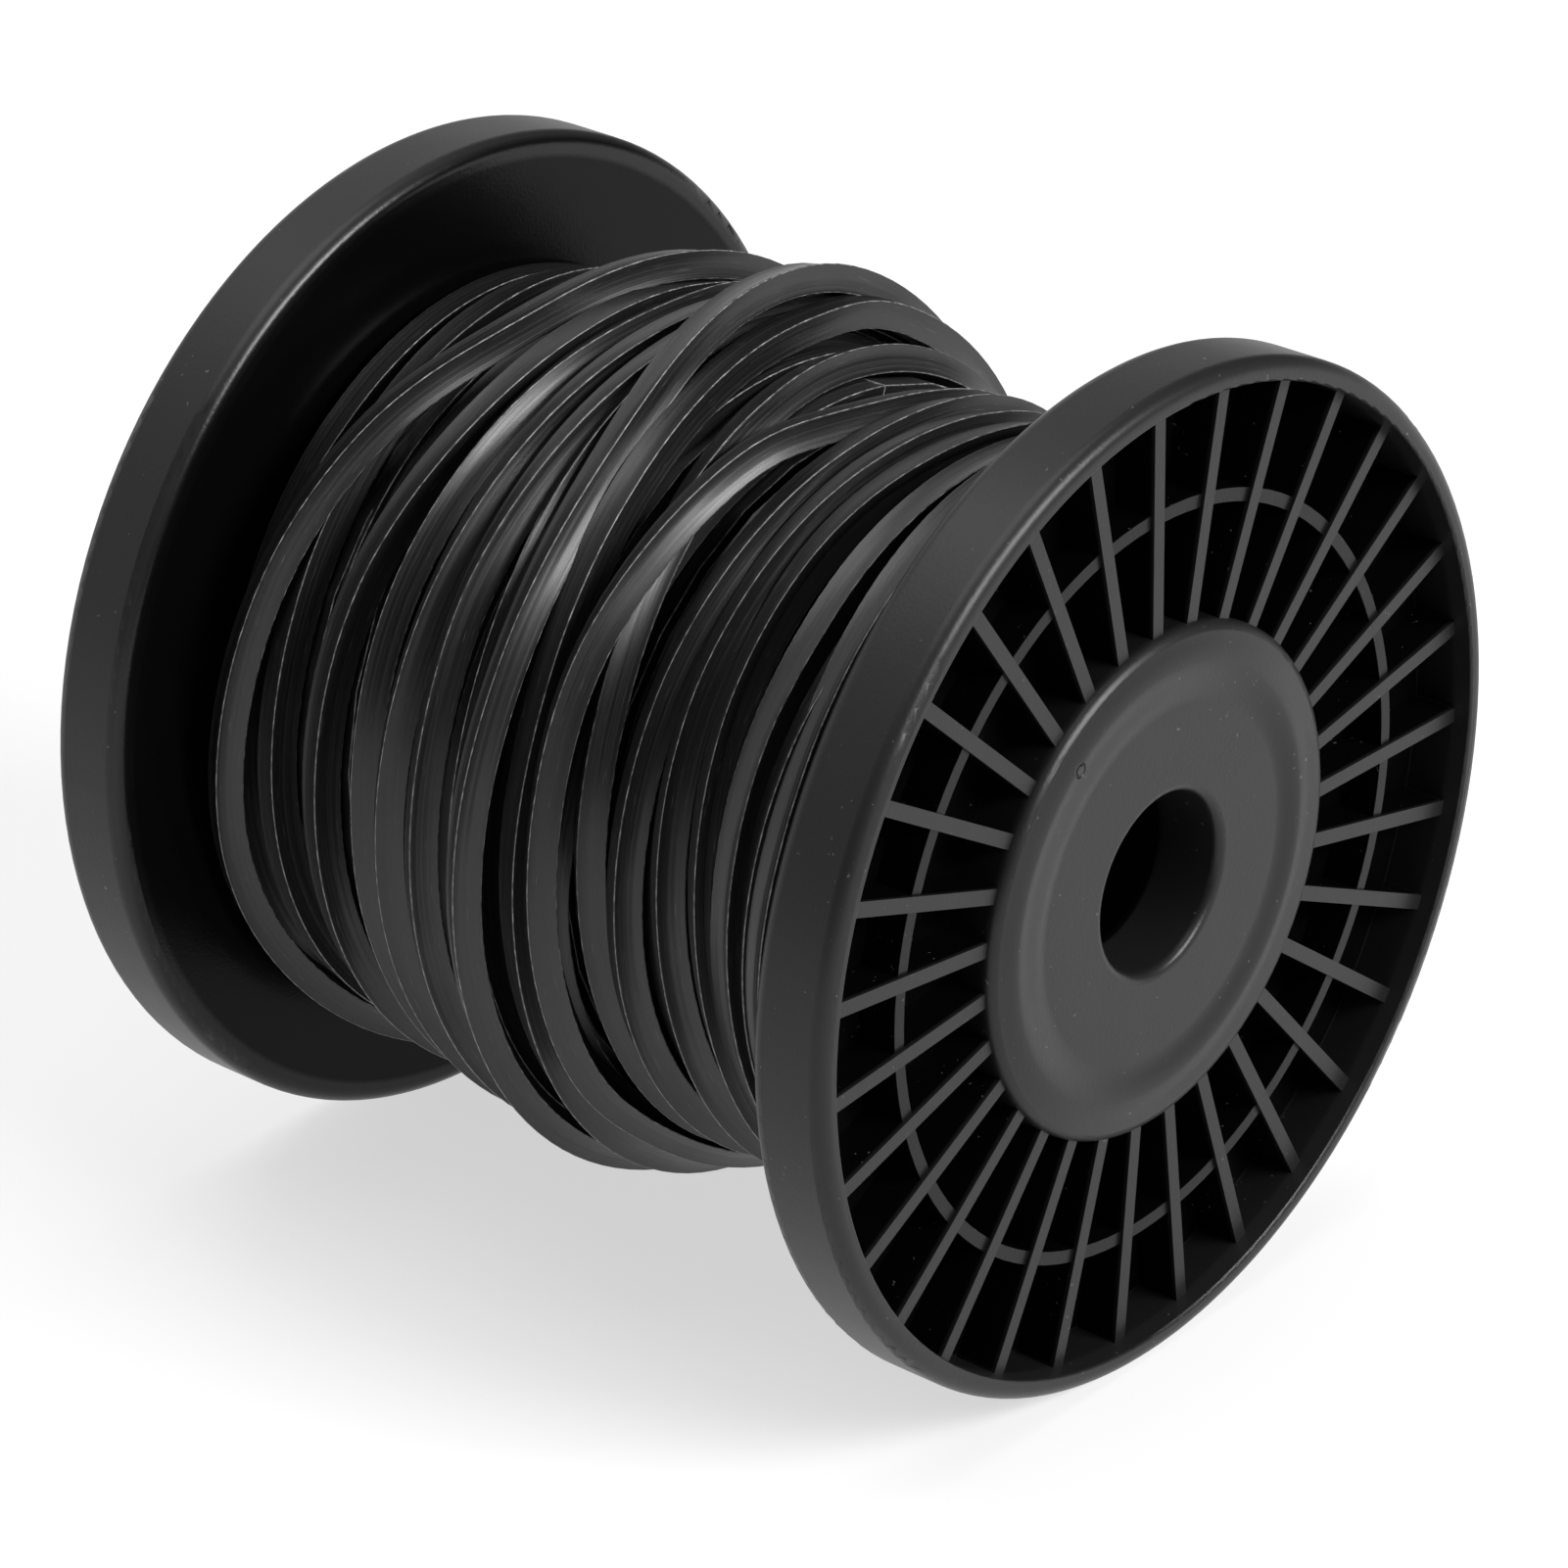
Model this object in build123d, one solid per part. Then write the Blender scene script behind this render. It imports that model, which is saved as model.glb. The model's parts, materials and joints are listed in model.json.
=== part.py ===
from build123d import *
import os

# String reel: two ribbed end flanges on a hollow drum, wound with a square-section string.
# The reel's axis lies along Y with the origin at the middle of the bore. The front flange is
# at -Y, the rear flange at +Y, and the reel lies on its two rims with +Z up. Millimetres.

os.makedirs("parts", exist_ok=True)

# ---- Driving dimensions: the whole reel ----
reel_length = 101.8          # over the two outer rim faces
flange_diameter = 108.0
flange_thickness = 9.0       # width of the rim band

# ---- Flange moulding ----
rim_wall = 2.4               # thickness of the rim band, seen from the end
rim_edge_radius = 1.6        # rounding of both outer corners of the rim band
recess_edge_radius = 0.3     # softened inner corner of the rim's end face
web_thickness = 2.2          # the disc that holds the string in
hub_drop = 1.1               # hub face below the rim's end face
hub_wall = 2.5               # wall of the hub cup around the drum
hub_plate = 3.0              # end plate of the hub cup
hub_edge_radius = 1.0
rib_count = 31
rib_thickness = 1.6
rib_drop = 2.0               # top of the radial ribs below the rim's end face
first_rib_angle = 10.25      # degrees from +X towards +Z, seen on the front flange
ring_diameter = 79.2         # middle of the round stiffening rib
ring_thickness = 1.4
ring_drop = 2.4              # top of the round rib below the rim's end face
rib_root = 0.5               # how far ribs run into the hub, the rim wall and the web

# ---- Axle bore ----
bore_diameter = 19.0
bore_lip_radius = 1.0        # rounded mouth of the bore
collar_wall = 2.5            # wall of the bore collar behind the hub plate
collar_length = 8.2          # bore collar, from the hub face inwards

# ---- Drum ----
drum_diameter = 49.0
drum_wall = 3.0
drum_fit = 0.1               # radial clearance of the drum's ends in the hub cups
anchor_hole_diameter = 6.0   # the string's inner end is tucked through this hole
anchor_hole_inset = 6.0      # from the rear flange's inner face to the hole's middle

# ---- Wound string, as one solid of its outer shape ----
winding_middle_diameter = 90.0
winding_end_diameter = 80.0
winding_side_gap = 0.15      # between the winding and each flange
winding_drum_gap = 0.05      # between the innermost turns and the drum

# ---- Sizes that follow from the ones above ----
flange_radius = flange_diameter / 2
recess_radius = flange_radius - rim_wall
floor_depth = flange_thickness - web_thickness
drum_radius = drum_diameter / 2
cup_radius = drum_radius + drum_fit
hub_radius = cup_radius + hub_wall
bore_radius = bore_diameter / 2
collar_radius = bore_radius + collar_wall
plate_depth = hub_drop + hub_plate
drum_length = reel_length - 2 * plate_depth
inner_gap = reel_length - 2 * flange_thickness


def flange_body():
    """The turned shape of one flange. Points are (radius, depth behind the rim's end face)."""
    corners = [
        (recess_radius, 0, recess_edge_radius),
        (flange_radius, 0, rim_edge_radius),
        (flange_radius, flange_thickness, rim_edge_radius),
        (cup_radius, flange_thickness, 0),
        (cup_radius, plate_depth, 0),
        (collar_radius, plate_depth, 0),
        (collar_radius, hub_drop + collar_length, 0),
        (bore_radius, hub_drop + collar_length, 0),
        (bore_radius, hub_drop, bore_lip_radius),
        (hub_radius, hub_drop, hub_edge_radius),
        (hub_radius, floor_depth, 0),
        (recess_radius, floor_depth, 0),
    ]
    points = [(radius, depth) for radius, depth, rounding in corners]
    profile = make_face(Polyline(*points, close=True))
    for radius, depth, rounding in corners:
        if rounding:
            corner = profile.vertices().sort_by_distance(Vector(radius, depth, 0))[0]
            profile = fillet(corner, rounding)
    return revolve(profile, axis=Axis.Y)


def radial_rib():
    """One straight rib along +X, from the hub wall to the rim wall."""
    inner = hub_radius - rib_root
    outer = recess_radius + rib_root
    height = floor_depth + rib_root - rib_drop
    rib = Box(outer - inner, height, rib_thickness)
    return Pos((inner + outer) / 2, rib_drop + height / 2, 0) * rib


def ring_rib():
    """The round rib that ties the radial ribs together part of the way out."""
    height = floor_depth + rib_root - ring_drop
    outer = Cylinder((ring_diameter + ring_thickness) / 2, height)
    inner = Cylinder((ring_diameter - ring_thickness) / 2, height)
    return Pos(0, ring_drop + height / 2, 0) * Rot(90, 0, 0) * (outer - inner)


def flange():
    """One flange moulding, its rim's end face on the XZ plane and its inside towards +Y."""
    rib = radial_rib()
    pitch = 360 / rib_count
    ribs = [Rot(0, -(first_rib_angle + i * pitch), 0) * rib for i in range(rib_count)]
    return flange_body() + ribs + ring_rib()


def drum():
    """The hollow drum, with the hole that takes the string's inner end."""
    outside = Rot(90, 0, 0) * Cylinder(drum_radius, drum_length)
    inside = Rot(90, 0, 0) * Cylinder(drum_radius - drum_wall, drum_length)
    hole = Cylinder(anchor_hole_diameter / 2, drum_radius, align=(Align.CENTER, Align.CENTER, Align.MIN))
    hole_y = inner_gap / 2 - anchor_hole_inset
    return outside - inside - Pos(0, hole_y, 0) * hole


def winding():
    """All the turns of string as one ring: flat against the drum and the flanges, crowned outside."""
    half = inner_gap / 2 - winding_side_gap
    inner = drum_radius + winding_drum_gap
    end = winding_end_diameter / 2
    middle = winding_middle_diameter / 2
    sides = Polyline((end, half), (inner, half), (inner, -half), (end, -half))
    crown = ThreePointArc((end, -half), (middle, 0), (end, half))
    return revolve(make_face([*sides.edges(), crown]), axis=Axis.Y)


front = Pos(0, -reel_length / 2, 0) * flange()
nodes = {
    "front_flange": front,
    "rear_flange": front.rotate(Axis.Z, 180),
    "drum": drum(),
    "string_winding": winding(),
}

for name, solid in nodes.items():
    export_step(solid, f"parts/{name}.step")
    print(f"{name}: {len(solid.solids())} solid, {solid.volume / 1000:.1f} cm3")
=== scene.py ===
# %% [markdown]
# # A reel of square string
# The object is a black moulded reel: two ribbed end flanges on a hollow drum, wound with about
# twenty-five metres of coarse square string. The flanges and the drum come ready from the CAD
# model, so they only need a finish. The string is the piece that has to be made here, because its
# turns are what the eye reads first. We start by loading the CAD model as a fixed frame.

# %% Load the frame
import json
import math
import bpy
import numpy as np
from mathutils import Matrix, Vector

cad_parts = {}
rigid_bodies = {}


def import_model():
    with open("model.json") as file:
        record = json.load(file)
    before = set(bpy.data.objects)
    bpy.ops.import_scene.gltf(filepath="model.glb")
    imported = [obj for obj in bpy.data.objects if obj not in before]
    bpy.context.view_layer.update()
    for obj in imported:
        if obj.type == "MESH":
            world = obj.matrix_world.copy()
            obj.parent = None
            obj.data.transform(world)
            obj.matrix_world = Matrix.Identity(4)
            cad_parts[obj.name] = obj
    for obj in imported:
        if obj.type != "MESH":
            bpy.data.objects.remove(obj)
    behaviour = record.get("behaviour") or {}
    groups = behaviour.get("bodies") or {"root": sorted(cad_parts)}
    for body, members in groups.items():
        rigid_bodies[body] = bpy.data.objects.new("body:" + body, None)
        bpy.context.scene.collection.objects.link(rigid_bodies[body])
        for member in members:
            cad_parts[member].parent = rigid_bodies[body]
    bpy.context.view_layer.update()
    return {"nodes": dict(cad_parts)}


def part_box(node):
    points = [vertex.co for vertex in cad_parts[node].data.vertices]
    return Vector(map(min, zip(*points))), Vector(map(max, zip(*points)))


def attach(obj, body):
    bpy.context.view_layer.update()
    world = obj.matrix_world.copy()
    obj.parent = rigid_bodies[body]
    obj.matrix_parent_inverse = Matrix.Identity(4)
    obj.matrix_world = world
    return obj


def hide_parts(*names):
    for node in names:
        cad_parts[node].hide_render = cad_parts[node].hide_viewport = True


for leftover in list(bpy.data.objects):
    bpy.data.objects.remove(leftover, do_unlink=True)
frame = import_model()

MM = 0.001
flange_low, flange_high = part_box("front_flange")
_, drum_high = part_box("drum")
_, winding_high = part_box("string_winding")
flange_radius = flange_high.z
rim_face = flange_low.y
drum_radius = drum_high.x / MM
lay_half = winding_high.y / MM
print(f"flange radius {flange_radius / MM:.1f} mm, room for turns {2 * lay_half:.1f} mm long")

# %% [markdown]
# ## Camera
# A product this size is shot from well back with a long lens, which keeps the near flange from
# looming over the far one. The camera stands to the left and above, about twelve flange radii
# away. It is also moved a little sideways and down, which brings the reel to the middle of the view.

# %% Camera
CAMERA_AWAY, CAMERA_RIGHT, CAMERA_UP = 12.3984, 0.0126, -0.0866   # all in flange radii

azimuth = math.radians(-49.9)
elevation = math.radians(27.05)
back = Vector((
    math.sin(azimuth) * math.cos(elevation),
    -math.cos(azimuth) * math.cos(elevation),
    math.sin(elevation),
))
right = Vector((math.cos(azimuth), math.sin(azimuth), 0))
above = back.cross(right)
camera_data = bpy.data.cameras.new("camera")
camera_data.lens = 149.0
camera_data.sensor_width = 36.0
camera = bpy.data.objects.new("camera", camera_data)
camera.location = flange_radius * (CAMERA_AWAY * back + CAMERA_RIGHT * right + CAMERA_UP * above)
camera.rotation_euler = (-back).to_track_quat("-Z", "Y").to_euler()
camera_data.clip_end = 20
bpy.context.collection.objects.link(camera)
bpy.context.scene.camera = camera
print(f"camera {camera.location.length:.2f} m away")

# %% [markdown]
# ## Where the string goes
# The last turns are loose, so they wander, cross and leave gaps. What lies under them can't be seen
# and is taken to be neat layers from flange to flange, as a machine lays them. We describe the
# string by its angle round the drum and its place between the flanges. Two more numbers say how
# high a turn may rise and how far its section leans. Neat layers are straight runs from side to
# side. The outer turns are placed one by one at four angles each, and the rest of each turn eases
# from one place to the next.

# %% String: side to side
SIDE = 3.0                       # the string's section is a square of this side, mm
SAMPLES = 120                    # points in one turn
ANCHOR_Y = 35.9                  # middle of the drum's anchor hole, mm
START_ANGLE = 90.0               # the anchor hole is at the top
UNDER_LIFT = -3.0                # how far the layers under the outer turns stay below them, mm
LOOSE_TURNS = 16                 # the winding gets loose this many turns before the outer ones
NEAT_WAVER, LOOSE_WAVER = 0.08, 0.22   # how far a turn strays from its place, mm
CREST_ANGLE = 88                 # degrees; near the top, where loose turns tip least
FLAT_HALF, TIPPING = 12, 45      # they tip only beyond this from the crest, and fully after this more
NEAT_LEAN, LOOSE_LEAN, TIP_LEAN, LEAN_WAVER = 3, 4, 25, 11   # the parts of a turn's lean, degrees
LEAN_MARGIN = 0.02               # radians; at 0 and 90 degrees top_of_section would divide by zero
LOOP_RISE, LOOP_SPREAD = 2.6, 30       # extra lift of the raised loop, mm, and its width, degrees
LOOP_HALF, LOOP_FROM = 7, 2.2          # it takes turns this near the middle, lifted more than this, mm

layers = [                       # from, to (mm), number of turns
    (ANCHOR_Y, 39.5, 1.0),
    (39.5, -39.5, 22.0),
    (-39.5, 39.5, 22.0),
    (39.5, -39.5, 22.0),
    (-39.5, -30.0, 1.0),
    (-30.0, 31.0, 16.0),
    (31.0, -6.0, 6.0),
    (-6.0, 38.5, 7.0),
]

TURN_ANGLES = (80, 115, 150, 200)   # over the top, shoulder, front, low
outer_turns = [                     # place of each outer turn at those angles, mm, and its lift
    (39.5, 38.8, 38.5, 38.5, 0.0),
    (34.5, 33.5, 32.5, 33.0, 0.0),
    (29.0, 29.5, 29.0, 28.5, -3.0),
    (19.5, 20.5, 25.0, 25.0, 0.0),
    (20.5, 27.5, 34.5, 39.0, 3.2),
    (15.5, 17.0, 18.5, 17.5, 0.0),
    (8.0, 8.0, 5.0, 6.0, -1.5),
    (11.0, 12.5, 13.5, 14.0, 0.5),
    (5.5, 7.5, 9.5, 9.5, 1.0),
    (9.0, 6.2, 4.2, 4.0, 0.0),
    (6.0, 3.0, 1.0, 2.0, 2.6),
    (3.0, -0.5, -2.5, -3.5, 1.8),
    (-2.5, -5.5, -8.5, -10.0, -2.5),
    (-11.5, -9.0, -6.0, -7.5, 1.0),
    (-15.0, -13.8, -13.0, -13.0, 0.5),
    (-17.5, -17.0, -15.5, -17.0, -1.5),
    (-19.5, -17.5, -17.5, -20.5, 0.5),
    (-23.5, -21.0, -21.5, -25.0, 0.5),
    (-26.0, -24.5, -23.5, -23.0, -2.0),
    (-28.0, -27.0, -26.5, -27.5, 0.5),
    (-32.0, -31.5, -29.5, -28.5, 0.0),
    (-31.0, -31.5, -32.5, -30.0, 0.8),
    (-36.0, -36.0, -35.5, -35.0, 0.0),
    (-39.5, -39.5, -39.5, -39.5, 0.0),
]


def run_of_turns(layers, outer_turns):
    """Angle (degrees, ever growing), place (mm) and lift (mm) along the whole string.

    A layer adds its turns times 360 degrees while its place goes evenly from side to side. An
    outer turn adds one point per given angle. The points are then joined evenly."""
    angle, place, lift = [START_ANGLE], [layers[0][0]], [UNDER_LIFT]
    for start, end, turns in layers:
        angle.append(angle[-1] + 360 * turns)
        place.append(end)
        lift.append(UNDER_LIFT)
    base = 360 * math.ceil((angle[-1] - TURN_ANGLES[0]) / 360)
    for turn, (*places, turn_lift) in enumerate(outer_turns):
        for at, y in zip(TURN_ANGLES, places):
            angle.append(base + 360 * turn + at)
            place.append(y)
            lift.append(turn_lift)
    fine = np.arange(START_ANGLE, angle[-1], 360 / SAMPLES)
    return fine, np.interp(fine, angle, place), np.interp(fine, angle, lift), base + TURN_ANGLES[0]


def eased(values, spread):
    """The values averaged with their neighbours under a bell curve `spread` samples wide."""
    reach = int(3 * spread) + 1
    bell = np.exp(-0.5 * (np.arange(-reach, reach + 1) / spread) ** 2)
    padded = np.pad(values, reach, mode="edge")
    return np.convolve(padded, bell / bell.sum(), mode="valid")


def wandering(count, wavelength, seed):
    """Smooth noise of about unit size: random numbers eased over `wavelength` samples."""
    noise = np.random.default_rng(seed).normal(size=count)
    smooth = eased(noise, wavelength)
    return smooth / smooth.std()


angle, place, lift, outer_start = run_of_turns(layers, outer_turns)
count = len(angle)
looseness = eased(np.where(angle >= outer_start - 360 * LOOSE_TURNS, 1.0, 0.0), spread=60)
waver = NEAT_WAVER + LOOSE_WAVER * looseness
place = eased(place, spread=3.5) + wandering(count, wavelength=14, seed=3) * waver
past_top = np.abs((angle - CREST_ANGLE + 180) % 360 - 180)
tipped = np.clip((past_top - FLAT_HALF) / TIPPING, 0, 1)
lean = NEAT_LEAN * wandering(count, wavelength=30, seed=5)
loose_lean = LOOSE_LEAN + TIP_LEAN * tipped + LEAN_WAVER * wandering(count, wavelength=24, seed=8)
lean = lean + looseness * loose_lean
lean = np.clip(np.radians(lean), LEAN_MARGIN, math.pi / 2 - LEAN_MARGIN)
half_width = SIDE / 2 * (np.cos(lean) + np.sin(lean))
place = np.clip(place, half_width - lay_half, lay_half - half_width)
lift = eased(lift, spread=5)
over_the_top = np.exp(-(((angle % 360) - CREST_ANGLE) / LOOP_SPREAD) ** 2)
lift = lift + LOOP_RISE * over_the_top * (np.abs(place) < LOOP_HALF) * (lift > LOOP_FROM)
lift = eased(lift, spread=3)
print(f"{(angle[-1] - angle[0]) / 360:.0f} turns, {len(outer_turns)} of them placed by hand")

# %% [markdown]
# ## How the turns pile up
# How far from the axis a turn lies depends on the turns under it. So we wind the string on a
# numerical drum: a grid over angle and place holds the height built up so far. Each turn rests
# on the highest thing under its section, bridges the dips because the string is stiff, and then
# raises the grid. This gives crossings, climbs and gaps that no simple spiral has. A crown, full in
# the middle and lower at the ends, limits how high a turn may stand, so in crowded spots a turn is
# pressed into the ones below it.

# %% String: stacking
MIDDLE_RADIUS, END_RADIUS = 43.2, 38.2   # crown of the outer turns, mm
FALL_START, FALL_END = -4.0, -17.0       # the crown's front side falls between these places, mm
CROWN_POWER = 2.2                # how suddenly the crown falls towards the ends
LEAD_IN, LEAD_IN_SAMPLES = 4.5, 5        # the string rises this far, mm, as it leaves the anchor hole
LEAD_IN_PLACE = 20               # samples over which it leaves the hole's middle sideways
CELL = 0.25                      # width of one cell of the height grid, mm
MARGIN = 2                       # the grid goes this far past the room for turns at each end, mm
GIVE = 0.6                       # a turn slides down beside one that it meets by less than this, mm
SECTION_REACH = 10               # cells to each side that a section can touch
BREAK_ANGLE = 306                # each turn is laid as one piece from here round to here, degrees
CARRY_OVER = 20                  # samples of the last turn that the next one is bridged with
BRIDGE_REACH, BRIDGE_SOFT = 5, 0.6       # samples that the stiff string bridges, and its easing
MIDDLE_CELLS = 30                # half width of the strip whose height is reported, cells


def top_of_section(x, lean):
    """Height of the leaning square's upper side above its middle, at sideways distance x.

    It is the lower of its two upper sides: (half - x sin) / cos and (half + x cos) / sin. Outside
    the square it comes out below the lower side and is ignored."""
    half = SIDE / 2
    return np.minimum((half - x * np.sin(lean)) / np.cos(lean), (half + x * np.cos(lean)) / np.sin(lean))


def bridged(heights, reach):
    """The heights as a stiff string follows them.

    Highest neighbour within reach, then eased, and never below the heights themselves."""
    padded = np.pad(heights, reach, mode="edge")
    windows = np.lib.stride_tricks.sliding_window_view(padded, 2 * reach + 1)
    return np.maximum(eased(windows.max(axis=1), reach * BRIDGE_SOFT), heights)


def crown(place):
    """The most that a turn's middle may be from the axis, before its own lift.

    Full in the middle, it falls to the ends' height by the share of the half length gone, raised to
    CROWN_POWER. Towards the front it falls early: an S-shaped step between FALL_START and FALL_END
    takes it down to the ends' height."""
    full = END_RADIUS + (MIDDLE_RADIUS - END_RADIUS) * (1 - np.abs(place / lay_half) ** CROWN_POWER)
    step = np.clip((place - FALL_START) / (FALL_END - FALL_START), 0, 1)
    return full + (END_RADIUS - full) * step * step * (3 - 2 * step)


def pile(angle, place, lean, half_width, lift):
    """Distance of every point from the axis, laid turn by turn on a height grid, and the grid.

    The crown and the turn's own lift are the most that it may rise, as if pressed down in winding."""
    cells = int(2 * (lay_half + MARGIN) / CELL)
    grid = np.full((SAMPLES, cells), drum_radius)
    spread = np.arange(-SECTION_REACH, SECTION_REACH + 1)
    radius = np.zeros(len(angle))
    column = np.round(angle / (360 / SAMPLES)).astype(int) % SAMPLES
    first = int((BREAK_ANGLE - START_ANGLE) / (360 / SAMPLES))
    edges = [0, *range(first, len(angle), SAMPLES), len(angle)]
    for start, end in zip(edges[:-1], edges[1:]):
        here = slice(start, end)
        middle = np.round((place[here] + lay_half + MARGIN) / CELL).astype(int)
        cell = middle[:, None] + spread[None, :]
        x = cell * CELL - lay_half - MARGIN - place[here][:, None]
        slope = lean[here][:, None]
        above_middle = top_of_section(x, slope)
        below_middle = top_of_section(-x, slope)
        inside = above_middle + below_middle > 0
        carried = inside & (np.abs(x) < half_width[here][:, None] - GIVE)
        under = grid[column[here][:, None], cell]
        rest = np.where(carried, under + below_middle, 0).max(axis=1)
        before = radius[max(0, start - CARRY_OVER):start]
        laid = bridged(np.concatenate([before, rest]), BRIDGE_REACH)[len(before):]
        laid = np.minimum(laid, crown(place[here]) + lift[here])
        radius[here] = laid
        raised = np.where(inside, laid[:, None] + above_middle, 0)
        np.maximum.at(grid, (np.broadcast_to(column[here][:, None], cell.shape), cell), raised)
    return eased(radius, spread=1.5), grid


radius, heights = pile(angle, place, lean, half_width, lift)
steps = np.arange(count)
radius -= LEAD_IN * np.clip(1 - steps / LEAD_IN_SAMPLES, 0, 1) ** 2
place += (ANCHOR_Y - place) * np.clip(1 - steps / LEAD_IN_PLACE, 0, 1)
middle_cell = heights.shape[1] // 2
middle_height = heights[:, middle_cell - MIDDLE_CELLS: middle_cell + MIDDLE_CELLS]
print(f"wound to {middle_height.mean():.1f} mm in the middle, highest point {radius.max():.1f} mm")

# %% [markdown]
# ## From a path to a string
# Extruded square string has slightly hollow faces and small, sharp corners. The corners catch the
# light as thin bright lines, so they need real geometry: three points across each corner and one
# more in the middle of each face. We carry that section along the path. The hidden inner layers use
# a plainer section and fewer steps, since only their bulk shows through the gaps.

# %% String: section and sweep
CORNER = 0.055                   # size of a corner's rounding, as a share of the side
TIP_INSET = 0.3                  # how far a corner's tip is cut back, as a share of the rounding
HOLLOW = 0.050                   # depth of a face's hollow, as a share of the side
INNER_STEP = 4                   # the hidden turns keep every fourth sample of the path
FINE_TURNS = 8                   # the full section starts this many turns before the outer ones


def square_section(points_per_face):
    """Points, outward normals and lengths round a square of side 1 with hollow faces.

    Along a face the distance from the middle is a half, less a parabola that is deepest at the
    face's middle. The four faces are the first one turned by quarter turns."""
    along = np.linspace(-0.5 + CORNER, 0.5 - CORNER, points_per_face)
    out = 0.5 - HOLLOW * (1 - (along / (0.5 - CORNER)) ** 2)
    tip = 0.5 - CORNER * TIP_INSET
    face = np.stack([np.append(along, tip), np.append(out, tip)], axis=1)
    slope = -2 * HOLLOW * along / (0.5 - CORNER) ** 2
    normal = np.stack([np.append(slope, 1.0), np.append(np.ones_like(along), 1.0)], axis=1)
    normal /= np.linalg.norm(normal, axis=1, keepdims=True)
    round_share = np.append(along + 0.5, 1.0)
    turned, turned_normals, shares = [], [], []
    for quarter in range(4):
        angle = -quarter * math.pi / 2
        turn = np.array([[math.cos(angle), math.sin(angle)], [-math.sin(angle), math.cos(angle)]])
        turned.append(face @ turn)
        turned_normals.append(normal @ turn)
        shares.append(round_share + quarter)
    return np.concatenate(turned), np.concatenate(turned_normals), np.concatenate(shares)


def string_frame(path):
    """Unit vectors outward from the axis and sideways at every point, both square to the path."""
    along = np.gradient(path, axis=0)
    along /= np.linalg.norm(along, axis=1, keepdims=True)
    outward = path * [1, 0, 1]
    outward -= (outward * along).sum(axis=1, keepdims=True) * along
    outward /= np.linalg.norm(outward, axis=1, keepdims=True)
    return outward, np.cross(along, outward)


def swept(path, lean, distance, section):
    """A closed tube: the section, turned by the lean, at every point of the path.

    Point = path + side x (across x sideways + out x outward). Gives points, normals, faces and,
    for each corner of each face, the distance along and the share round."""
    points, normals, share = section
    outward, sideways = string_frame(path)
    cos, sin = np.cos(lean)[:, None], np.sin(lean)[:, None]
    up = cos * outward + sin * sideways
    across = cos * sideways - sin * outward
    around, rings = len(points), len(path)

    def carried(flat):
        """The flat section's x along `across` and y along `up`, at every point of the path."""
        return flat[None, :, 0, None] * across[:, None] + flat[None, :, 1, None] * up[:, None]

    vertices = path[:, None] + SIDE * carried(points)
    ring, step = np.meshgrid(np.arange(rings - 1), np.arange(around), indexing="ij")
    after = (step + 1) % around
    quads = np.stack([
        ring * around + step, ring * around + after,
        (ring + 1) * around + after, (ring + 1) * around + step,
    ], axis=-1).reshape(-1, 4)
    share_after = np.where(after == 0, share[0] + 4, share[after])
    u = np.stack([distance[ring], distance[ring], distance[ring + 1], distance[ring + 1]], axis=-1)
    v = np.stack([share[step], share_after, share_after, share[step]], axis=-1)
    uv = np.stack([u, v], axis=-1).reshape(-1, 2)
    return vertices.reshape(-1, 3), carried(normals).reshape(-1, 3), quads, uv, around


def string_mesh(name, runs):
    """One mesh from several swept runs, each closed with a flat cap at both ends."""
    vertices, normals, faces, uvs, start = [], [], [], [], 0
    for run_vertices, run_normals, quads, uv, around in runs:
        count = len(run_vertices)
        vertices.append(run_vertices)
        normals.append(run_normals)
        faces += (quads + start).tolist()
        uvs.append(uv)
        first_cap = np.arange(around)[::-1] + start
        last_cap = np.arange(count - around, count) + start
        faces += [first_cap.tolist(), last_cap.tolist()]
        uvs.append(np.zeros((2 * around, 2)))
        start += count
    mesh = bpy.data.meshes.new(name)
    mesh.from_pydata(np.concatenate(vertices) * MM, [], faces)
    layer = mesh.uv_layers.new(name="string")
    layer.data.foreach_set("uv", np.concatenate(uvs).astype(np.float32).ravel())
    mesh.polygons.foreach_set("use_smooth", np.ones(len(faces), dtype=bool))
    mesh.normals_split_custom_set_from_vertices(np.concatenate(normals))
    return mesh


turn_angle = np.radians(angle)
path = np.stack([radius * np.cos(turn_angle), place, radius * np.sin(turn_angle)], axis=1)
distance = np.concatenate([[0], np.cumsum(np.linalg.norm(np.diff(path, axis=0), axis=1))])
split = int(np.argmax(angle >= outer_start - 360 * FINE_TURNS)) // INNER_STEP * INNER_STEP
inner = slice(0, split + 1, INNER_STEP)
outer = slice(split, None)
mesh = string_mesh("string", [
    swept(path[inner], lean[inner], distance[inner] * MM, square_section(2)),
    swept(path[outer], lean[outer], distance[outer] * MM, square_section(3)),
])
string = bpy.data.objects.new("string", mesh)
bpy.context.collection.objects.link(string)

# %% [markdown]
# ## Shared effects
# Black moulded plastic carries fine dust and small changes of gloss. Each effect is a node group
# with its own inputs, so a material can use it with its own strength.

# %% Shared node groups
def new_group(name, inputs, outputs):
    """An empty shader node group with the named inputs (name, default) and outputs (name, kind)."""
    group = bpy.data.node_groups.new(name, "ShaderNodeTree")
    for label, default in inputs:
        kind = "NodeSocketVector" if default is None else "NodeSocketFloat"
        socket = group.interface.new_socket(label, in_out="INPUT", socket_type=kind)
        if default is not None:
            socket.default_value = default
    for label, kind in outputs:
        group.interface.new_socket(label, in_out="OUTPUT", socket_type=kind)
    return group, group.nodes.new("NodeGroupInput"), group.nodes.new("NodeGroupOutput")


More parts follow.
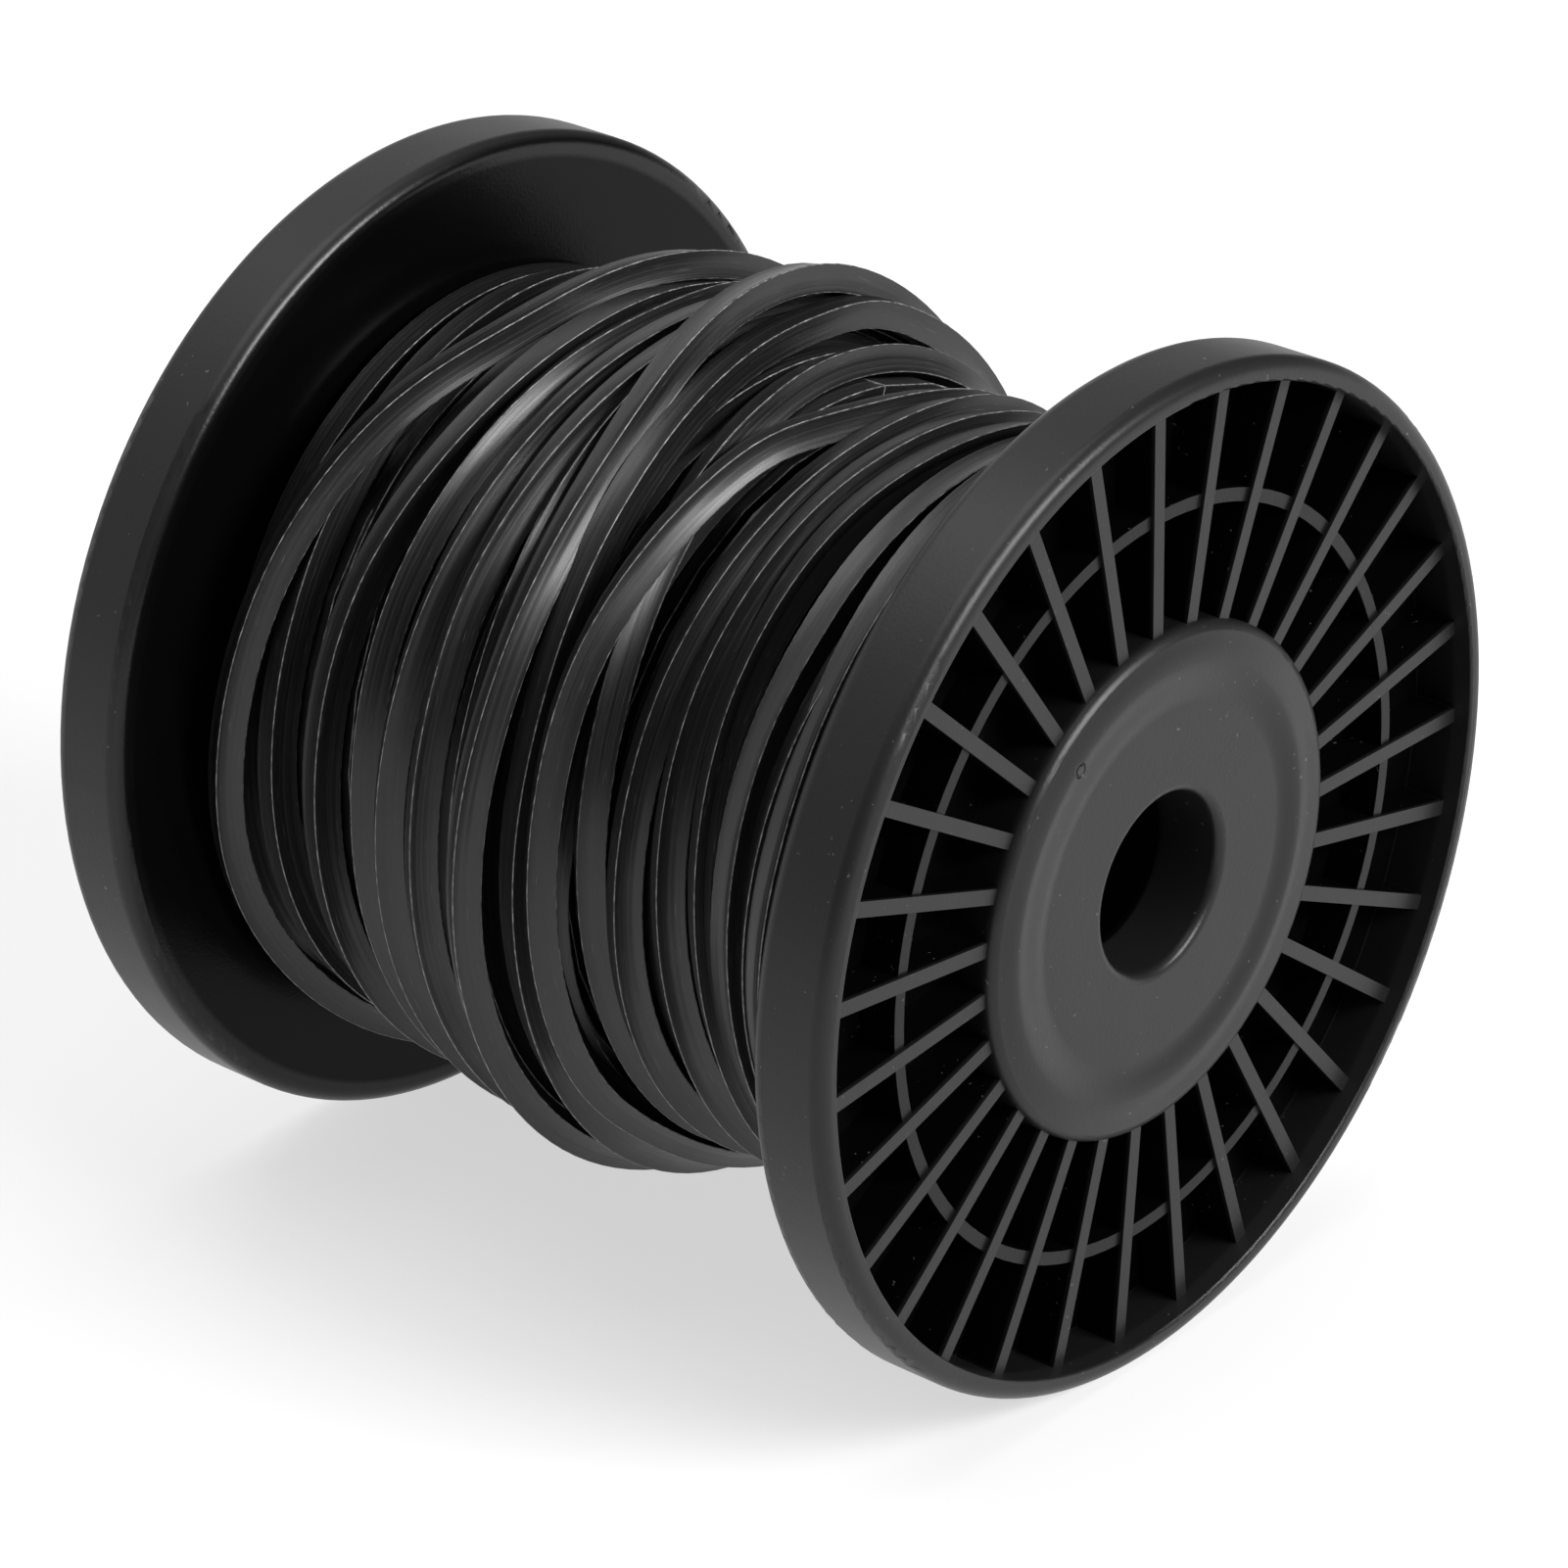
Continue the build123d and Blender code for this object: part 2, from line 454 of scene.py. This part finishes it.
def math_node(tree, operation, first, second=None, third=None):
    """A Math node whose inputs are sockets or plain numbers. Gives its output socket."""
    node = tree.nodes.new("ShaderNodeMath")
    node.operation = operation
    for socket, value in zip(node.inputs, (first, second, third)):
        if value is None:
            continue
        if isinstance(value, bpy.types.NodeSocket):
            tree.links.new(value, socket)
        else:
            socket.default_value = value
    return node.outputs[0]


def noise_node(tree, vector, scale, detail, roughness):
    """A Noise Texture on the vector, with its scale, detail and roughness. Gives its value socket."""
    node = tree.nodes.new("ShaderNodeTexNoise")
    node.inputs["Detail"].default_value = detail
    node.inputs["Roughness"].default_value = roughness
    if isinstance(scale, bpy.types.NodeSocket):
        tree.links.new(scale, node.inputs["Scale"])
    else:
        node.inputs["Scale"].default_value = scale
    tree.links.new(vector, node.inputs["Vector"])
    return node.outputs["Fac"]


def range_node(tree, value, low, high, to_low, to_high):
    """A Map Range node that clamps. Gives its result socket."""
    node = tree.nodes.new("ShaderNodeMapRange")
    tree.links.new(value, node.inputs["Value"])
    for label, number in zip(("From Min", "From Max", "To Min", "To Max"), (low, high, to_low, to_high)):
        if isinstance(number, bpy.types.NodeSocket):
            tree.links.new(number, node.inputs[label])
        else:
            node.inputs[label].default_value = number
    return node.outputs["Result"]


PATCH_SCALE, PATCH_SHARE = 60.0, 0.18    # a broad noise that gathers the dust in patches
SPECK_EDGE = 0.05                        # how far above the cutoff a speck is at its full strength


def make_dust_group():
    """Specks: a fine noise plus a share of a broad one, cut off so that only small spots are left.

    The cutoff is raised by half that share, because the broad noise is a half on average."""
    group, given, out = new_group(
        "dust", [("Vector", None), ("Scale", 900.0), ("Cutoff", 0.70)], [("Mask", "NodeSocketFloat")])
    fine = noise_node(group, given.outputs["Vector"], given.outputs["Scale"], 2.0, 0.5)
    patch = noise_node(group, given.outputs["Vector"], PATCH_SCALE, 2.0, 0.5)
    both = math_node(group, "MULTIPLY_ADD", patch, PATCH_SHARE, fine)
    raised = math_node(group, "ADD", given.outputs["Cutoff"], PATCH_SHARE / 2)
    top = math_node(group, "ADD", raised, SPECK_EDGE)
    group.links.new(range_node(group, both, raised, top, 0.0, 1.0), out.inputs["Mask"])
    return group


def make_mottle_group():
    """Slow changes of gloss: a broad noise, spread about zero."""
    group, given, out = new_group(
        "mottle", [("Vector", None), ("Scale", 60.0), ("Strength", 0.1)], [("Value", "NodeSocketFloat")])
    broad = noise_node(group, given.outputs["Vector"], given.outputs["Scale"], 4.0, 0.6)
    centred = math_node(group, "SUBTRACT", broad, 0.5)
    scaled = math_node(group, "MULTIPLY", centred, given.outputs["Strength"])
    group.links.new(scaled, out.inputs["Value"])
    return group


dust_group = make_dust_group()
mottle_group = make_mottle_group()
print("node groups:", ", ".join(group.name for group in bpy.data.node_groups))


# %% Material helpers
PLASTIC_IOR = 1.5


def new_material(name):
    """A node material with only a Principled BSDF. Gives the material, its tree and the shader."""
    material = bpy.data.materials.new(name)
    material.use_nodes = True
    tree = material.node_tree
    return material, tree, tree.nodes["Principled BSDF"]


def use_group(tree, group, vector, **values):
    """A group node with its vector linked and its numbers set. Gives its first output."""
    node = tree.nodes.new("ShaderNodeGroup")
    node.node_tree = group
    tree.links.new(vector, node.inputs["Vector"])
    for label, number in values.items():
        node.inputs[label].default_value = number
    return node.outputs[0]


def bump_node(tree, height, distance, strength, normal=None):
    """A Bump node: height in units of `distance` metres. Gives its normal socket."""
    node = tree.nodes.new("ShaderNodeBump")
    node.inputs["Distance"].default_value = distance
    node.inputs["Strength"].default_value = strength
    tree.links.new(height, node.inputs["Height"])
    if normal is not None:
        tree.links.new(normal, node.inputs["Normal"])
    return node.outputs["Normal"]


def mix_colour(tree, mask, first, second):
    """Mixes two colours by a mask. The first may be a socket. Gives the colour socket."""
    node = tree.nodes.new("ShaderNodeMix")
    node.data_type = "RGBA"
    tree.links.new(mask, node.inputs["Factor"])
    if isinstance(first, bpy.types.NodeSocket):
        tree.links.new(first, node.inputs["A"])
    else:
        node.inputs["A"].default_value = (*first, 1)
    node.inputs["B"].default_value = (*second, 1)
    return node.outputs["Result"]


# %% [markdown]
# ## The string's finish
# The string is taken to be extruded nylon, so the marks on it run lengthwise: die lines, gloss
# streaks and a pale line along each corner. That pale line is partly scuff wear and partly a
# painted highlight along the corners. Its UV map holds metres along the string and faces round it,
# which lets a noise be stretched along the string however it winds.

# %% String material
# The pale colour goes on the corner lines, which are partly scuff wear and partly a painted highlight, and
# on the flecks.
DARK_NYLON, LIGHT_NYLON, PALE_NYLON = (0.0035, 0.0035, 0.0040), (0.0150, 0.0150, 0.0160), (0.30, 0.30, 0.30)
CORNER_LINE = (0.466, 0.482)             # where the pale line begins and is full, from a face's middle
FLECK_SHARE = 0.25                       # how pale the flecks are, as a share of the corner line
# Scales of the noises: per metre along the string, and per face round it.
CORNER_BREAKS, STREAKS, BANDS, FLECKS, LINES, KINKS = (700, 3), (4, 11), (30, 1.2), (260, 30), (3, 3.5), (60, 0.5)
BASE_ROUGH, STREAK_ROUGH, BAND_ROUGH, CORNER_ROUGH = 0.14, 0.34, 0.12, 0.2
LINE_HEIGHT, KINK_HEIGHT = 0.00010, 0.0008   # metres


def make_string_material():
    """Nylon: each noise is stretched along the string, by scales per metre and per face."""
    material, tree, shader = new_material("string_nylon")
    uv = tree.nodes.new("ShaderNodeUVMap")
    uv.uv_map = "string"
    parts = tree.nodes.new("ShaderNodeSeparateXYZ")
    tree.links.new(uv.outputs["UV"], parts.inputs[0])
    along, round_it = parts.outputs["X"], parts.outputs["Y"]

    def stretched(lengthwise, crosswise):
        """The string's map with its two directions scaled: per metre along, per face round."""
        vector = tree.nodes.new("ShaderNodeCombineXYZ")
        tree.links.new(math_node(tree, "MULTIPLY", along, lengthwise), vector.inputs["X"])
        tree.links.new(math_node(tree, "MULTIPLY", round_it, crosswise), vector.inputs["Y"])
        return vector.outputs[0]

    on_face = math_node(tree, "FRACT", round_it)
    from_middle = math_node(tree, "ABSOLUTE", math_node(tree, "SUBTRACT", on_face, 0.5))
    # A pale line along every corner, broken by a noise: partly scuff wear, partly a painted highlight along
    # the corners.
    corner = range_node(tree, from_middle, *CORNER_LINE, 0.0, 1.0)
    corner_line_breaks = range_node(tree, noise_node(tree, stretched(*CORNER_BREAKS), 1.0, 3.0, 0.6), 0.42, 0.66, 0.12, 1.0)
    pale = math_node(tree, "MULTIPLY", corner, corner_line_breaks)
    streaks = noise_node(tree, stretched(*STREAKS), 1.0, 4.0, 0.55)
    bands = noise_node(tree, stretched(*BANDS), 1.0, 2.0, 0.5)
    flecks = range_node(tree, noise_node(tree, stretched(*FLECKS), 1.0, 2.0, 0.5), 0.68, 0.74, 0.0, 1.0)

    streak_colour = mix_colour(tree, range_node(tree, streaks, 0.35, 0.75, 0.0, 1.0),
                               DARK_NYLON, LIGHT_NYLON)
    marks = math_node(tree, "MAXIMUM", pale, math_node(tree, "MULTIPLY", flecks, FLECK_SHARE))
    tree.links.new(mix_colour(tree, marks, streak_colour, PALE_NYLON), shader.inputs["Base Color"])

    gloss = math_node(tree, "MULTIPLY_ADD", streaks, STREAK_ROUGH, BASE_ROUGH)
    gloss = math_node(tree, "MULTIPLY_ADD", bands, BAND_ROUGH, gloss)
    gloss = math_node(tree, "MULTIPLY_ADD", pale, CORNER_ROUGH, gloss)
    tree.links.new(gloss, shader.inputs["Roughness"])
    lines = noise_node(tree, stretched(*LINES), 1.0, 2.0, 0.4)
    kinks = noise_node(tree, stretched(*KINKS), 1.0, 1.0, 0.5)
    kinked = bump_node(tree, kinks, KINK_HEIGHT, 0.5)
    tree.links.new(bump_node(tree, lines, LINE_HEIGHT, 0.6, kinked), shader.inputs["Normal"])
    shader.inputs["IOR"].default_value = PLASTIC_IOR
    return material


string_material = make_string_material()
string.data.materials.append(string_material)
print(f"string: {string_material.name}, {len(string_material.node_tree.nodes)} nodes")

# %% [markdown]
# ## The moulding's finish
# Both flanges are taken to come from one mould. Its faces are lightly textured on the rim and the
# hub, and polished inside the ribbed recess and on the side facing the string. We part these
# regions by their distance from the axis and their depth behind the rim's end face, which are plain
# formulas of the Object coordinates, and give each its own gloss. The polished regions also get a
# far darker colour, which is painted shade in the recess and on the side facing the string.

# %% Flange material
# Places and sizes are in metres. A pair is where a mask starts to change and where it has changed.
GATE_X, GATE_Z, GATE_RADIUS = 0.0139, 0.0180, 0.00065   # the mould's gate mark on each hub
RECESS_DEPTH, RIM_INSIDE, HUB_OUTSIDE = (0.0021, 0.0026), (0.0512, 0.0518), (0.0270, 0.0272)
INNER_FACE_DEPTH = (0.0084, 0.0088)
HUB_DEPTH, HUB_EDGE = (0.003, 0.004), (0.0262, 0.0271)
DISH_RISE, DISH_FALL = (0.0188, 0.0232), (0.0228, 0.0275)   # the hub's raised border, from the axis
DISH_HEIGHT, GATE_LINE, GATE_HEIGHT = 0.0010, 0.00022, -0.0004
# The second black, far darker than the first, is painted shade for the ribbed recess and the side facing
# the string.
TEXTURED_BLACK, PAINTED_SHADE_BLACK, DUST_GREY = (0.0110,) * 3, (0.0014,) * 3, (0.16, 0.16, 0.155)
TEXTURED_ROUGHNESS, POLISHED_ROUGHNESS = 0.37, 0.25
OPEN_SPECULAR, RECESS_SPECULAR = 0.28, 0.10
DUST_STRENGTH = 0.5
GRAIN_HEIGHT, WAVE_HEIGHT = 0.00004, 0.0002


def smooth_step(tree, value, low, high, to_low, to_high):
    """A Map Range node with an S-shaped rise. Gives its result socket."""
    result = range_node(tree, value, low, high, to_low, to_high)
    result.node.interpolation_type = "SMOOTHSTEP"
    return result


def gate_distance(tree, x, z):
    """Distance from the gate mark, worked out across the hub's face."""
    across = math_node(tree, "SUBTRACT", x, GATE_X)
    up = math_node(tree, "SUBTRACT", z, GATE_Z)
    squares = math_node(tree, "MULTIPLY", across, across)
    return math_node(tree, "SQRT", math_node(tree, "MULTIPLY_ADD", up, up, squares))


def make_flange_material():
    """Moulded plastic: masks from the distance to the axis and the depth mix two finishes. The
    polished one is also far darker, which paints the shade in the recess and on the inner face.

    Distance is the root of x squared plus z squared. Depth is the rim face's |y| less the point's."""
    material, tree, shader = new_material("flange_moulding")
    place = tree.nodes.new("ShaderNodeTexCoord").outputs["Object"]
    parts = tree.nodes.new("ShaderNodeSeparateXYZ")
    tree.links.new(place, parts.inputs[0])
    squares = math_node(tree, "MULTIPLY", parts.outputs["X"], parts.outputs["X"])
    squares = math_node(tree, "MULTIPLY_ADD", parts.outputs["Z"], parts.outputs["Z"], squares)
    from_axis = math_node(tree, "SQRT", squares)
    depth = math_node(tree, "SUBTRACT", -rim_face, math_node(tree, "ABSOLUTE", parts.outputs["Y"]))

    deep = range_node(tree, depth, *RECESS_DEPTH, 0.0, 1.0)
    inside_rim = range_node(tree, from_axis, *RIM_INSIDE, 1.0, 0.0)
    outside_hub = range_node(tree, from_axis, *HUB_OUTSIDE, 0.0, 1.0)
    recess = math_node(tree, "MULTIPLY", math_node(tree, "MULTIPLY", deep, inside_rim), outside_hub)

    inner_face = range_node(tree, depth, *INNER_FACE_DEPTH, 0.0, 1.0)
    polished_and_shaded = math_node(tree, "MAXIMUM", recess, inner_face)
    dust = use_group(tree, dust_group, place, Scale=1500.0, Cutoff=0.735)
    dust = math_node(tree, "MULTIPLY", dust, math_node(tree, "SUBTRACT", 1.0, inner_face))
    # Painted shade: the recess and the inner face take the darker black. Their lower roughness is the real
    # polish.
    base = mix_colour(tree, polished_and_shaded, TEXTURED_BLACK, PAINTED_SHADE_BLACK)
    dusty = mix_colour(tree, math_node(tree, "MULTIPLY", dust, DUST_STRENGTH), base, DUST_GREY)
    tree.links.new(dusty, shader.inputs["Base Color"])

    mottle = use_group(tree, mottle_group, place, Scale=45.0, Strength=0.16)
    rough = range_node(tree, polished_and_shaded, 0.0, 1.0, TEXTURED_ROUGHNESS, POLISHED_ROUGHNESS)
    tree.links.new(math_node(tree, "ADD", rough, mottle), shader.inputs["Roughness"])
    grain = noise_node(tree, place, 2600.0, 3.0, 0.6)
    waves = noise_node(tree, place, 70.0, 2.0, 0.5)
    waved = bump_node(tree, waves, WAVE_HEIGHT, 0.35)
    hub = math_node(tree, "MULTIPLY", range_node(tree, depth, *HUB_DEPTH, 1.0, 0.0),
                    range_node(tree, from_axis, *HUB_EDGE, 1.0, 0.0))
    dish = smooth_step(tree, from_axis, *DISH_RISE, 0.0, 1.0)
    fall = smooth_step(tree, from_axis, *DISH_FALL, 0.0, 1.0)
    profile = math_node(tree, "MULTIPLY", math_node(tree, "SUBTRACT", dish, fall), hub)
    dished = bump_node(tree, profile, DISH_HEIGHT, 1.0, waved)
    side = math_node(tree, "MULTIPLY", parts.outputs["X"], math_node(tree, "SIGN", parts.outputs["Y"]))
    gate = gate_distance(tree, side, parts.outputs["Z"])
    ring = range_node(tree, math_node(tree, "ABSOLUTE", math_node(tree, "SUBTRACT", gate, GATE_RADIUS)),
                      0.0, GATE_LINE, 1.0, 0.0)
    marked = bump_node(tree, math_node(tree, "MULTIPLY", ring, hub), GATE_HEIGHT, 1.0, dished)
    tree.links.new(bump_node(tree, grain, GRAIN_HEIGHT, 0.5, marked), shader.inputs["Normal"])
    shader.inputs["IOR"].default_value = PLASTIC_IOR
    specular = range_node(tree, recess, 0.0, 1.0, OPEN_SPECULAR, RECESS_SPECULAR)
    tree.links.new(specular, shader.inputs["Specular IOR Level"])
    return material


def make_drum_material():
    """Moulded plastic in one finish, since little of the drum shows."""
    material, tree, shader = new_material("drum_moulding")
    place = tree.nodes.new("ShaderNodeTexCoord").outputs["Object"]
    shader.inputs["Base Color"].default_value = (0.012, 0.012, 0.012, 1)
    mottle = use_group(tree, mottle_group, place, Scale=60.0, Strength=0.15)
    tree.links.new(math_node(tree, "ADD", mottle, 0.42), shader.inputs["Roughness"])
    grain = noise_node(tree, place, 1800.0, 3.0, 0.6)
    tree.links.new(bump_node(tree, grain, GRAIN_HEIGHT, 0.5), shader.inputs["Normal"])
    return material


flange_material = make_flange_material()
drum_material = make_drum_material()
for node, material in (
    ("front_flange", flange_material), ("rear_flange", flange_material), ("drum", drum_material),
):
    piece = frame["nodes"][node]
    for slot in piece.material_slots:
        slot.material = material
    print(f"{node}: {material.name}")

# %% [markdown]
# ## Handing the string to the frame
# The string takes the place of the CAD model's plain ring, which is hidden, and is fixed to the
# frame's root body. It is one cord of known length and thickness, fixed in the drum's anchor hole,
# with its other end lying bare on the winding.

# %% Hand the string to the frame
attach(string, "root")
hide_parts("string_winding")

# %% [markdown]
# ## Floor and light
# Black gloss shows its surroundings more than itself, so the room matters as much as the lamps.
# The floor is pale, which gives a soft grey in every face that looks down. One lamp stands in front
# and above, a weaker one overhead. The room is pale behind the reel and overhead and dim elsewhere,
# so that its reflections have edges. The camera itself sees plain white past the floor.

# %% Floor
FLOOR_HALF, FLOOR_GREY, FLOOR_GLOW = 6.0, 0.35, 0.62   # half width in metres, colour, own light


def floor_sheet(half, height):
    """A flat square of the given half width, facing up: x and y from -half to half."""
    corners = np.array([[-1, -1], [1, -1], [1, 1], [-1, 1]]) * half
    vertices = np.concatenate([corners, np.full((4, 1), height)], axis=1)
    mesh = bpy.data.meshes.new("floor")
    mesh.from_pydata(vertices, [], [(0, 1, 2, 3)])
    return mesh


floor = bpy.data.objects.new("floor", floor_sheet(FLOOR_HALF, flange_low.z))
bpy.context.collection.objects.link(floor)
floor_material, _, floor_shader = new_material("floor_paper")
floor_shader.inputs["Base Color"].default_value = (FLOOR_GREY, FLOOR_GREY, FLOOR_GREY, 1)
floor_shader.inputs["Roughness"].default_value = 0.9
floor_shader.inputs["Specular IOR Level"].default_value = 0.1
floor_shader.inputs["Emission Color"].default_value = (1, 1, 1, 1)
floor_shader.inputs["Emission Strength"].default_value = FLOOR_GLOW
floor.data.materials.append(floor_material)
print(f"floor {2 * FLOOR_HALF:.0f} m wide, at height {flange_low.z / MM:.1f} mm")


# %% Lamps
def soft_lamp(name, direction, distance, width, height, power):
    """A rectangular lamp (metres, watts), placed along the direction and aimed at the reel."""
    lamp = bpy.data.lights.new(name, "AREA")
    lamp.shape = "RECTANGLE"
    lamp.size, lamp.size_y, lamp.energy = width, height, power
    holder = bpy.data.objects.new(name, lamp)
    toward = Vector(direction).normalized()
    holder.location = toward * distance
    holder.rotation_euler = toward.to_track_quat("Z", "Y").to_euler()
    bpy.context.collection.objects.link(holder)
    print(f"{name}: {power:.0f} W at {distance:.1f} m")


soft_lamp("lamp_front", direction=(0.15, -0.82, 0.53), distance=1.4, width=0.85, height=0.40, power=26.0)
soft_lamp("lamp_above", direction=(-0.1, 0.15, 1.0), distance=1.5, width=1.2, height=1.2, power=14.0)


# %% Room
WALL_LIGHT, CEILING_LIGHT, BACKDROP_LIGHT = 0.04, 0.35, 0.85
CEILING_EDGE, BACKDROP_EDGE = (0.6, 0.9), (0.35, 0.7)   # upward and backward parts of a direction

world = bpy.data.worlds.new("room")
bpy.context.scene.world = world
world.use_nodes = True
world_tree = world.node_tree
room = world_tree.nodes["Background"]
toward = world_tree.nodes.new("ShaderNodeTexCoord").outputs["Generated"]
direction = world_tree.nodes.new("ShaderNodeSeparateXYZ")
world_tree.links.new(toward, direction.inputs[0])
ceiling = range_node(world_tree, direction.outputs["Z"], *CEILING_EDGE, WALL_LIGHT, CEILING_LIGHT)
behind = range_node(world_tree, direction.outputs["Y"], *BACKDROP_EDGE, 0.0, BACKDROP_LIGHT)
world_tree.links.new(math_node(world_tree, "ADD", ceiling, behind), room.inputs["Strength"])
room.inputs["Color"].default_value = (1, 1, 1, 1)
backdrop = world_tree.nodes.new("ShaderNodeBackground")
backdrop.inputs["Color"].default_value = (1, 1, 1, 1)
seen = world_tree.nodes.new("ShaderNodeLightPath")
choose = world_tree.nodes.new("ShaderNodeMixShader")
world_tree.links.new(seen.outputs["Is Camera Ray"], choose.inputs["Fac"])
world_tree.links.new(room.outputs[0], choose.inputs[1])
world_tree.links.new(backdrop.outputs[0], choose.inputs[2])
world_tree.links.new(choose.outputs[0], world_tree.nodes["World Output"].inputs["Surface"])
bpy.context.scene.view_settings.view_transform = "Standard"
print(f"room light: walls {WALL_LIGHT}, overhead {CEILING_LIGHT}, backdrop {BACKDROP_LIGHT}")
